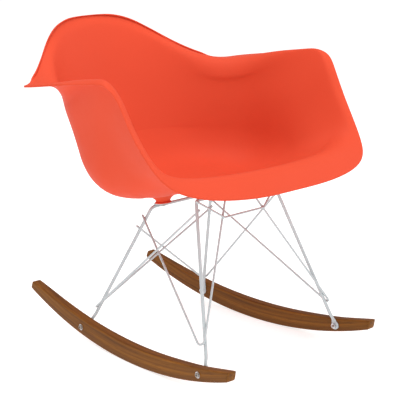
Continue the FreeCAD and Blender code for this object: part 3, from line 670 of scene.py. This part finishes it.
def boss_mesh(x, bar, step_y, rear):
    foot_r = REAR_BOSS_R if rear else FRONT_BOSS_R
    seg = 72
    angs = np.arange(seg) * 2 * math.pi / seg
    middle = wall_above(0.0, 0.0, x, bar, step_y)
    prof = [(foot_r - 0.7, 0.0), (foot_r - 0.2, 0.2), (foot_r, 0.7)]
    if rear:
        prof += [(foot_r, 1.7), (foot_r - 0.25, 2.2), (foot_r - 1.0, 2.7), (15.6, 3.3)]
        prof += [tuple(p) for p in spline(BOSS_FLARE, 26)]
        reach = 14.0
    else:
        prof += [(foot_r, 2.0 + 1.2 * q) for q in range(7)]
        prof += [(foot_r + 3.0 * (1 - math.cos(t)), middle - 3.0 * (1 - math.sin(t))) for t in np.linspace(0.0, math.pi / 2, 8)]
        reach = 3.0
    rings = []
    for r, z in prof:
        row = []
        for a in angs:
            wall = wall_above(r, a, x, bar, step_y)
            # the local underside is followed more and more towards the edge of the flare
            f = float(np.clip((z - (middle - reach)) / reach, 0.0, 1.0))
            row.append((r * math.cos(a), r * math.sin(a), min(z + (wall - middle) * f * f * (3 - 2 * f), wall + 1.2)))
        rings.append(row)
    r_end = prof[-1][0]
    for f, up_by in ((1.0, 1.5), (0.8, 1.8), (0.4, 1.8)):
        r = r_end * f
        rings.append([(r * math.cos(a), r * math.sin(a), wall_above(r, a, x, bar, step_y) + up_by) for a in angs])
    verts = [(0, 0, 0.0)] + [p for ring in rings for p in ring] + [(0, 0, middle + 1.8)]
    faces = [(0, 1 + (i + 1) % seg, 1 + i) for i in range(seg)]
    for k in range(len(rings) - 1):
        for i in range(seg):
            j = (i + 1) % seg
            faces.append((1 + k * seg + i, 1 + k * seg + j, 1 + (k + 1) * seg + j, 1 + (k + 1) * seg + i))
    base = 1 + (len(rings) - 1) * seg
    faces += [(base + i, base + (i + 1) % seg, len(verts) - 1) for i in range(seg)]
    return in_mount(np.array(verts) + (0, step_y, BOSS_Z), x, bar), faces


def bore_mesh(x, bar, step_y, depth, r=4.52, seg=48):
    verts = []
    for z in (-3.0, depth):
        verts += [(r * math.cos(2 * math.pi * i / seg), step_y + r * math.sin(2 * math.pi * i / seg), BOSS_Z + z) for i in range(seg)]
    faces = [(i, (i + 1) % seg, seg + (i + 1) % seg, seg + i) for i in range(seg)]
    faces += [tuple(range(seg - 1, -1, -1)), tuple(range(seg, 2 * seg))]
    return in_mount(np.array(verts), x, bar), faces


def combine(ob, verts_faces, how):
    tool = add_mesh("tool", *joined(verts_faces))
    turned_out(tool)
    mod = ob.modifiers.new("combine", "BOOLEAN")
    mod.operation, mod.solver, mod.object = how, "EXACT", tool
    deps = bpy.context.evaluated_depsgraph_get()
    me = bpy.data.meshes.new_from_object(ob.evaluated_get(deps))
    ob.modifiers.clear()
    ob.data = me
    bpy.data.objects.remove(tool)


combine(shell, [boss_mesh(x, bar, st, bar is REAR_TOP) for x, bar, st in MOUNTS], "UNION")
combine(shell, [bore_mesh(x, bar, st, REAR_BORE if bar is REAR_TOP else FRONT_BORE) for x, bar, st in MOUNTS], "DIFFERENCE")
shell.data.polygons.foreach_set("use_smooth", [True] * len(shell.data.polygons))
shell.data.set_sharp_from_angle(angle=math.radians(38))


# ------------------------------------------------------------------ rockers
DEPTH = [(-335.5, 18.2), (-300, 23.2), (-250, 28.0), (-190, 33.6), (-120, 37.3), (-40, 39.5),
         (40, 40.0), (120, 38.4), (190, 35.6), (250, 31.2), (300, 25.5), (338.6, 18.5)]
FRONT_END, REAR_END = -325.5, 338.0  # the underside stops at these, and short faces close the ends


def under(y):
    return ROCKER_R - np.sqrt(ROCKER_R ** 2 - (y - ROCKER_Y0) ** 2)


def at_depth(y, d):
    a = (y - ROCKER_Y0) / ROCKER_R
    return np.array((y - d * a, under(y) + d * math.sqrt(1 - a * a)))


def rocker_outline(n=150, ease=3.4):
    """Upper and lower chains of the side view, front to rear, as (y, z), with eased corners."""
    top = spline([at_depth(y, d) for y, d in DEPTH], 400)
    ys = np.linspace(FRONT_END, REAR_END, 400)
    low = np.stack([ys, under(ys)], 1)

    def line(a, b, k=24):
        return [np.array(a) + (np.array(b) - np.array(a)) * q / k for q in range(1, k)]

    loop = list(low) + line(low[-1], top[-1]) + list(top[::-1]) + line(top[0], low[0])
    # even spacing, then a local average that rounds only the corners
    closed = np.vstack([loop, loop[:1]])
    t = np.concatenate([[0], np.cumsum(np.linalg.norm(np.diff(closed, axis=0), axis=1))])
    s = np.arange(0, t[-1], 0.5)
    even = np.stack([np.interp(s, t, closed[:, 0]), np.interp(s, t, closed[:, 1])], 1)
    w = np.exp(-0.5 * (np.arange(-12, 13) * 0.5 / ease) ** 2)
    w /= w.sum()
    soft = np.zeros_like(even)
    for k, c in zip(range(-12, 13), w):
        soft += c * np.roll(even, -k, 0)
    # the chains part at the middle of each short end
    ends = [0.5 * (low[0] + top[0]), 0.5 * (low[-1] + top[-1])]
    a, b = (int(np.argmin(np.linalg.norm(soft - e, axis=1))) for e in ends)
    soft = np.roll(soft, -a, 0)
    b = (b - a) % len(soft)
    lower, upper = soft[:b + 1], np.vstack([soft[b:], soft[:1]])[::-1]
    f = np.linspace(0, 1, n)
    f = f - 0.14 * np.sin(2 * np.pi * f)
    res = []
    for chain in (upper, lower):
        t = np.concatenate([[0], np.cumsum(np.linalg.norm(np.diff(chain, axis=0), axis=1))])
        res.append(np.stack([np.interp(f * t[-1], t, chain[:, 0]), np.interp(f * t[-1], t, chain[:, 1])], 1))
    return res


def build_rocker(side, name):
    upper, lower = rocker_outline()
    n = len(upper)
    loop = np.vstack([lower, upper[-2:0:-1]])
    m = len(loop)
    tang = np.roll(loop, -1, 0) - np.roll(loop, 1, 0)
    tang /= np.linalg.norm(tang, axis=1, keepdims=True)
    inward = np.stack([-tang[:, 1], tang[:, 0]], 1)
    R = 3.6
    phis = np.linspace(0, math.pi / 2, 6)
    # layer k: distance of the outline in from the edge, and its x
    xs = [(-ROCKER_W / 2 + R * (1 - math.sin(f)), R * (1 - math.cos(f))) for f in phis[::-1]]
    xs += [(ROCKER_W / 2 - R * (1 - math.sin(f)), R * (1 - math.cos(f))) for f in phis]
    verts = []
    for x, inset in xs:
        q = loop + inward * inset
        verts.append(np.stack([np.full(m, x), q[:, 0], q[:, 1]], 1))
    grain = np.concatenate(verts)
    verts = on_rocker(grain, side)
    faces = []
    for k in range(len(xs) - 1):
        for i in range(m):
            j = (i + 1) % m
            faces.append((k * m + i, k * m + j, (k + 1) * m + j, (k + 1) * m + i))
    # flat sides: lower point i pairs with upper point i
    for k, flipped in ((0, True), (len(xs) - 1, False)):
        base = k * m
        lo = [base + i for i in range(n)]
        hi = [base + 0] + [base + m - i for i in range(1, n - 1)] + [base + n - 1]
        for i in range(n - 1):
            if i == 0:
                f = (lo[0], lo[1], hi[1])
            elif i == n - 2:
                f = (lo[i], lo[i + 1], hi[i])
            else:
                f = (lo[i], lo[i + 1], hi[i + 1], hi[i])
            faces.append(f[::-1] if flipped else f)
    ob = add_mesh(name, verts, faces, sharp=50)
    turned_out(ob)
    # coordinates that follow the bend, for the grain: across, along, up
    gy, gz = grain[:, 1], grain[:, 2]
    ang = np.arctan2(gy - ROCKER_Y0, ROCKER_R - gz)
    depth = ROCKER_R - np.hypot(gy - ROCKER_Y0, ROCKER_R - gz)
    at = ob.data.attributes.new("grain", "FLOAT_VECTOR", "POINT")
    data = np.stack([grain[:, 0] * side, ang * ROCKER_R, depth], 1) * MM
    at.data.foreach_set("vector", data.astype(np.float32).ravel())
    return ob


rockers = {"left": build_rocker(1, "rocker_left_timber"), "right": build_rocker(-1, "rocker_right_timber")}


# ------------------------------------------------------------------ materials
def material(name):
    m = bpy.data.materials.new(name)
    m.use_nodes = True
    nt = m.node_tree
    return m, nt, nt.nodes["Principled BSDF"]


def node(nt, kind, **values):
    n = nt.nodes.new(kind)
    for k, v in values.items():
        if k in n.inputs:
            n.inputs[k].default_value = v
        else:
            setattr(n, k, v)
    return n


def coords(nt, scale=(1, 1, 1), attribute=None):
    if attribute:
        c = node(nt, "ShaderNodeAttribute", attribute_type="GEOMETRY", attribute_name=attribute)
        source = c.outputs["Vector"]
    else:
        c = node(nt, "ShaderNodeTexCoord")
        source = c.outputs["Object"]
    mp = node(nt, "ShaderNodeMapping", Scale=scale)
    nt.links.new(source, mp.inputs["Vector"])
    return mp.outputs["Vector"]


def noise(nt, vec, scale, detail=2.0, rough=0.5, distortion=0.0):
    n = node(nt, "ShaderNodeTexNoise", Scale=scale, Detail=detail, Roughness=rough, Distortion=distortion)
    nt.links.new(vec, n.inputs["Vector"])
    return n.outputs["Fac"]


def ramp(nt, fac, stops, interpolation="LINEAR"):
    r = nt.nodes.new("ShaderNodeValToRGB")
    r.color_ramp.interpolation = interpolation
    e = r.color_ramp.elements
    e[0].position, e[0].color = stops[0][0], (*stops[0][1], 1)
    e[1].position, e[1].color = stops[-1][0], (*stops[-1][1], 1)
    for pos, col in stops[1:-1]:
        x = e.new(pos)
        x.color = (*col, 1)
    nt.links.new(fac, r.inputs["Fac"])
    return r.outputs["Color"]


def map_range(nt, value, a, b, c, d):
    n = node(nt, "ShaderNodeMapRange")
    n.inputs["From Min"].default_value, n.inputs["From Max"].default_value = a, b
    n.inputs["To Min"].default_value, n.inputs["To Max"].default_value = c, d
    nt.links.new(value, n.inputs["Value"])
    return n.outputs["Result"]


def mix_colour(nt, fac, a, b, blend="MIX"):
    n = node(nt, "ShaderNodeMix", data_type="RGBA", blend_type=blend)
    ins = [s for s in n.inputs if s.enabled]
    for s, v in zip(ins, (fac, a, b)):
        if hasattr(v, "is_linked") or isinstance(v, bpy.types.NodeSocket):
            nt.links.new(v, s)
        else:
            s.default_value = v if isinstance(v, (int, float)) else (*v, 1)
    return [s for s in n.outputs if s.enabled][0]


def bump(nt, height, strength, distance, under=None):
    b = node(nt, "ShaderNodeBump", Strength=strength, Distance=distance)
    nt.links.new(height, b.inputs["Height"])
    if under is not None:
        nt.links.new(under, b.inputs["Normal"])
    return b.outputs["Normal"]


def plastic():
    m, nt, p = material("moulded_plastic")
    v = coords(nt)
    p.inputs["IOR"].default_value = 1.49
    p.inputs["Specular IOR Level"].default_value = 0.05
    cloud = noise(nt, v, 7.0, 3.0, 0.5)
    col = mix_colour(nt, cloud, (0.625, 0.0680, 0.0300), (0.655, 0.0720, 0.0325))
    nt.links.new(col, p.inputs["Base Color"])
    nt.links.new(map_range(nt, noise(nt, v, 60.0, 4.0), 0.3, 0.7, 0.50, 0.56), p.inputs["Roughness"])
    grit = noise(nt, v, 1100.0, 2.0, 0.6)
    nt.links.new(bump(nt, grit, 0.10, 0.0001), p.inputs["Normal"])
    return m


def powder_coat():
    m, nt, p = material("white_powder_coat")
    v = coords(nt)
    cloud = noise(nt, v, 25.0, 2.0)
    nt.links.new(mix_colour(nt, cloud, (0.455, 0.50, 0.515), (0.50, 0.545, 0.56)), p.inputs["Base Color"])
    nt.links.new(map_range(nt, noise(nt, v, 90.0, 2.0), 0.3, 0.7, 0.34, 0.46), p.inputs["Roughness"])
    peel = noise(nt, v, 700.0, 2.0, 0.5)
    nt.links.new(bump(nt, peel, 0.25, 0.00015), p.inputs["Normal"])
    return m


def walnut():
    m, nt, p = material("oiled_walnut")
    v = coords(nt, (1, 1, 1), "grain")
    # growth rings: long wavering bands along the rocker
    slow = noise(nt, coords(nt, (9.0, 2.2, 9.0), "grain"), 1.0, 2.0, 0.5, 0.4)
    sep = node(nt, "ShaderNodeSeparateXYZ")
    nt.links.new(v, sep.inputs["Vector"])
    height = node(nt, "ShaderNodeMath", operation="MULTIPLY_ADD")
    nt.links.new(sep.outputs["X"], height.inputs[0])
    height.inputs[1].default_value = 0.55
    nt.links.new(sep.outputs["Z"], height.inputs[2])
    warp = node(nt, "ShaderNodeMath", operation="MULTIPLY_ADD")
    nt.links.new(slow, warp.inputs[0])
    warp.inputs[1].default_value = 0.030
    nt.links.new(height.outputs[0], warp.inputs[2])
    ring = node(nt, "ShaderNodeMath", operation="MULTIPLY")
    nt.links.new(warp.outputs[0], ring.inputs[0])
    ring.inputs[1].default_value = 210.0
    saw = node(nt, "ShaderNodeMath", operation="PINGPONG")
    nt.links.new(ring.outputs[0], saw.inputs[0])
    saw.inputs[1].default_value = 1.0
    fibre = noise(nt, coords(nt, (420.0, 9.0, 420.0), "grain"), 1.0, 3.0, 0.6)
    streak = noise(nt, coords(nt, (90.0, 2.5, 90.0), "grain"), 1.0, 3.0, 0.55, 0.3)
    pores = noise(nt, coords(nt, (1500.0, 60.0, 1500.0), "grain"), 1.0, 1.0)
    base = ramp(nt, streak, [(0.22, (0.070, 0.024, 0.0030)), (0.42, (0.150, 0.054, 0.0070)), (0.58, (0.205, 0.077, 0.0100)), (0.8, (0.290, 0.114, 0.0170))])
    late = ramp(nt, saw.outputs[0], [(0.0, (0.72, 0.70, 0.68)), (0.35, (0.98, 0.98, 0.98)), (1.0, (1.06, 1.05, 1.04))])
    col = mix_colour(nt, 0.65, base, late, "MULTIPLY")
    fine = ramp(nt, fibre, [(0.3, (0.80, 0.78, 0.76)), (0.7, (1.12, 1.12, 1.12))])
    col = mix_colour(nt, 0.7, col, fine, "MULTIPLY")
    dark = ramp(nt, pores, [(0.30, (0.45, 0.40, 0.38)), (0.40, (1, 1, 1))])
    col = mix_colour(nt, 0.6, col, dark, "MULTIPLY")
    nt.links.new(col, p.inputs["Base Color"])
    p.inputs["Specular IOR Level"].default_value = 0.16
    nt.links.new(map_range(nt, streak, 0.3, 0.7, 0.50, 0.62), p.inputs["Roughness"])
    h = node(nt, "ShaderNodeMath", operation="ADD")
    nt.links.new(fibre, h.inputs[0])
    nt.links.new(pores, h.inputs[1])
    nt.links.new(bump(nt, h.outputs[0], 0.25, 0.0003), p.inputs["Normal"])
    return m


def metal(name, colour, rough):
    m, nt, p = material(name)
    v = coords(nt)
    p.inputs["Metallic"].default_value = 1.0
    tone = noise(nt, v, 300.0, 3.0)
    nt.links.new(mix_colour(nt, tone, tuple(c * 0.88 for c in colour), colour), p.inputs["Base Color"])
    nt.links.new(map_range(nt, noise(nt, v, 500.0, 2.0), 0.3, 0.7, rough - 0.06, rough + 0.08), p.inputs["Roughness"])
    nt.links.new(bump(nt, noise(nt, v, 1200.0, 2.0), 0.15, 0.0001), p.inputs["Normal"])
    return m


PLASTIC, COAT, WALNUT = plastic(), powder_coat(), walnut()
ZINC = metal("zinc_plate", (0.72, 0.73, 0.75), 0.30)
BOLT = metal("dull_zinc", (0.34, 0.31, 0.28), 0.45)
BRASS = metal("turned_brass", (0.78, 0.60, 0.30), 0.32)


def dress(ob, mat, slot, *nodes):
    ob.data.materials.clear()
    ob.data.materials.append(mat)
    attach(ob, "root")
    if nodes:
        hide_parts(*nodes)


dress(shell, PLASTIC, "shell", "seat_shell")
dress(rear_hoop, COAT, "frame", "rear_hoop")
dress(front_hoop, COAT, "frame", "front_hoop")
dress(welds, COAT, "frame")
for ob in wires[2:]:
    dress(ob, COAT, "frame", ob.name[:-5])
for side in ("left", "right"):
    dress(rockers[side], WALNUT, "timber", "rocker_" + side)

for name, ob in NODES.items():
    if ob.hide_render:
        continue
    mat = COAT if name.startswith("mount_tab") else BRASS if name.startswith("seat_insert") else ZINC
    if "bolt" in name or "screw" in name:
        mat = BOLT
    if not ob.data.materials:
        ob.data.materials.append(mat)
    for s in ob.material_slots:
        s.material = mat

# ------------------------------------------------------------------ floor and light
me = bpy.data.meshes.new("floor")
S = 60.0
me.from_pydata([(-S, -S, 0), (S, -S, 0), (S, S, 0), (-S, S, 0)], [], [(0, 1, 2, 3)])
floor = bpy.data.objects.new("floor", me)
bpy.context.scene.collection.objects.link(floor)
m, nt, p = material("pale_floor")
p.inputs["Base Color"].default_value = (0.60, 0.60, 0.60, 1)
p.inputs["Roughness"].default_value = 0.9
p.inputs["Specular IOR Level"].default_value = 0.1
p.inputs["Emission Color"].default_value = (1, 1, 1, 1)
p.inputs["Emission Strength"].default_value = 0.74
floor.data.materials.append(m)

world = bpy.data.worlds.new("studio")
world.use_nodes = True
bg = world.node_tree.nodes["Background"]
bg.inputs["Color"].default_value = (1.0, 1.0, 1.0, 1)
bg.inputs["Strength"].default_value = 0.47
bpy.context.scene.world = world


def softbox(name, place, target, size, power, colour=(1, 1, 1)):
    d = bpy.data.lights.new(name, "AREA")
    d.shape = "RECTANGLE"
    d.size, d.size_y = size
    d.energy = power
    d.color = colour
    o = bpy.data.objects.new(name, d)
    o.location = place
    o.rotation_euler = (Vector(target) - Vector(place)).to_track_quat("-Z", "Y").to_euler()
    bpy.context.scene.collection.objects.link(o)
    return o


softbox("key", (0.6, -3.8, 2.2), (0, 0, 0.40), (2.6, 2.2), 50)
softbox("right", (3.2, -1.6, 2.2), (0, 0, 0.45), (2.0, 1.6), 38)
softbox("left", (-3.8, -0.9, 0.55), (0, 0, 0.40), (2.6, 0.9), 30)
softbox("overhead", (-0.6, 0.1, 3.4), (0, 0, 0.3), (3.0, 3.0), 93)

bpy.context.scene.view_settings.view_transform = "Standard"
